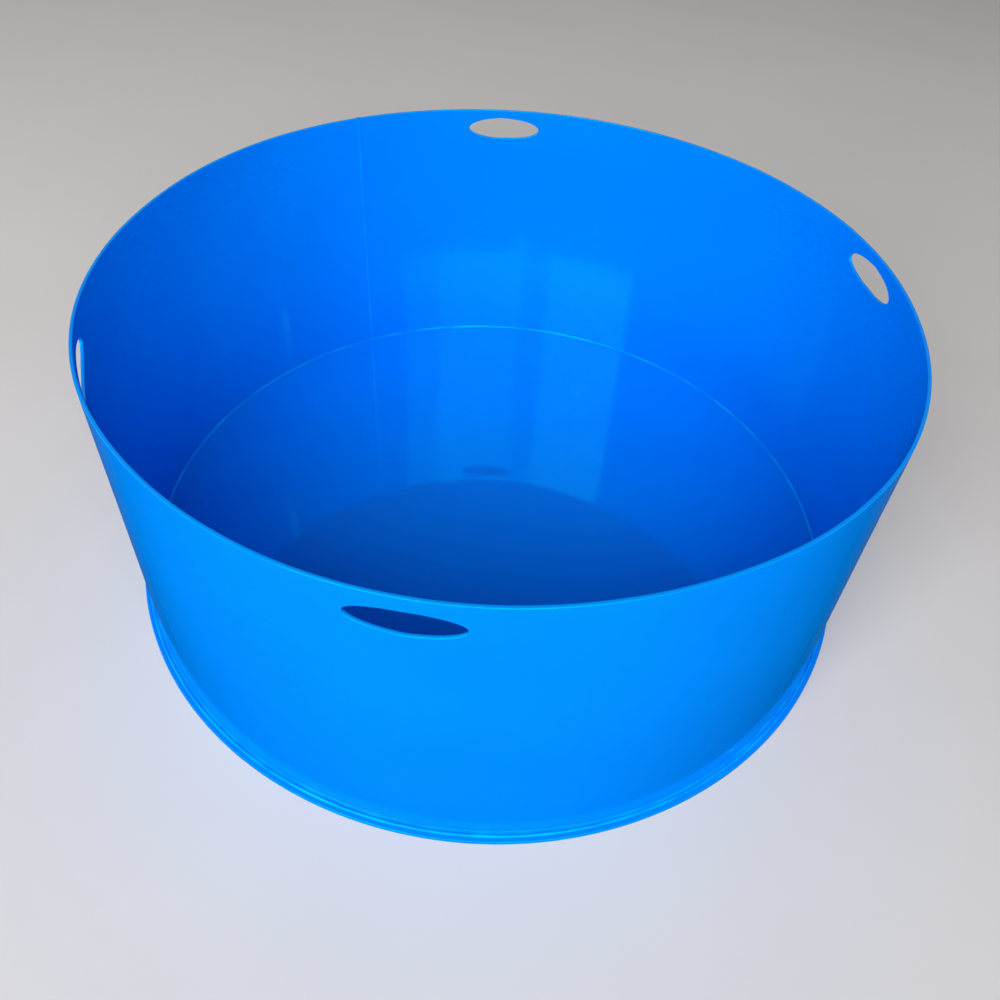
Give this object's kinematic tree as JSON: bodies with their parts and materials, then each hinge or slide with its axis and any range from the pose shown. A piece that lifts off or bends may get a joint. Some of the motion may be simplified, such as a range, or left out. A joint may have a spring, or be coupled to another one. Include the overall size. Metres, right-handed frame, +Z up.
{
  "type": "mortar mixing tub",
  "caption": "Large low round tub welded from plastic sheet, open at the top, with oval hand holes below its rim and a flat base that stands out as a narrow flange.",
  "frame": {"origin": "centre of the underside, where the tub rests on the ground", "axes": "+Z up through the open top, -Y towards the front, +X to the right seen from the front; the upright seam is 119.5 degrees anticlockwise from +X"},
  "size_m": [0.9799, 0.98, 0.411],
  "materials": {
    "wall_sheet": "glossy extruded plastic sheet, saturated blue, with fine scuffs",
    "base_sheet": "glossy extruded plastic sheet, saturated blue, with faint round scratches from mixing",
    "weld_filler": "glossy rippled weld bead in the same blue plastic, a little lighter"
  },
  "bodies": {
    "root": {"base_plate": "base_sheet", "wall_sheet": "wall_sheet", "seam_weld_inside": "weld_filler", "seam_weld_outside": "weld_filler", "base_weld_outside": "weld_filler", "base_weld_inside": "weld_filler"}
  },
  "joints": []
}
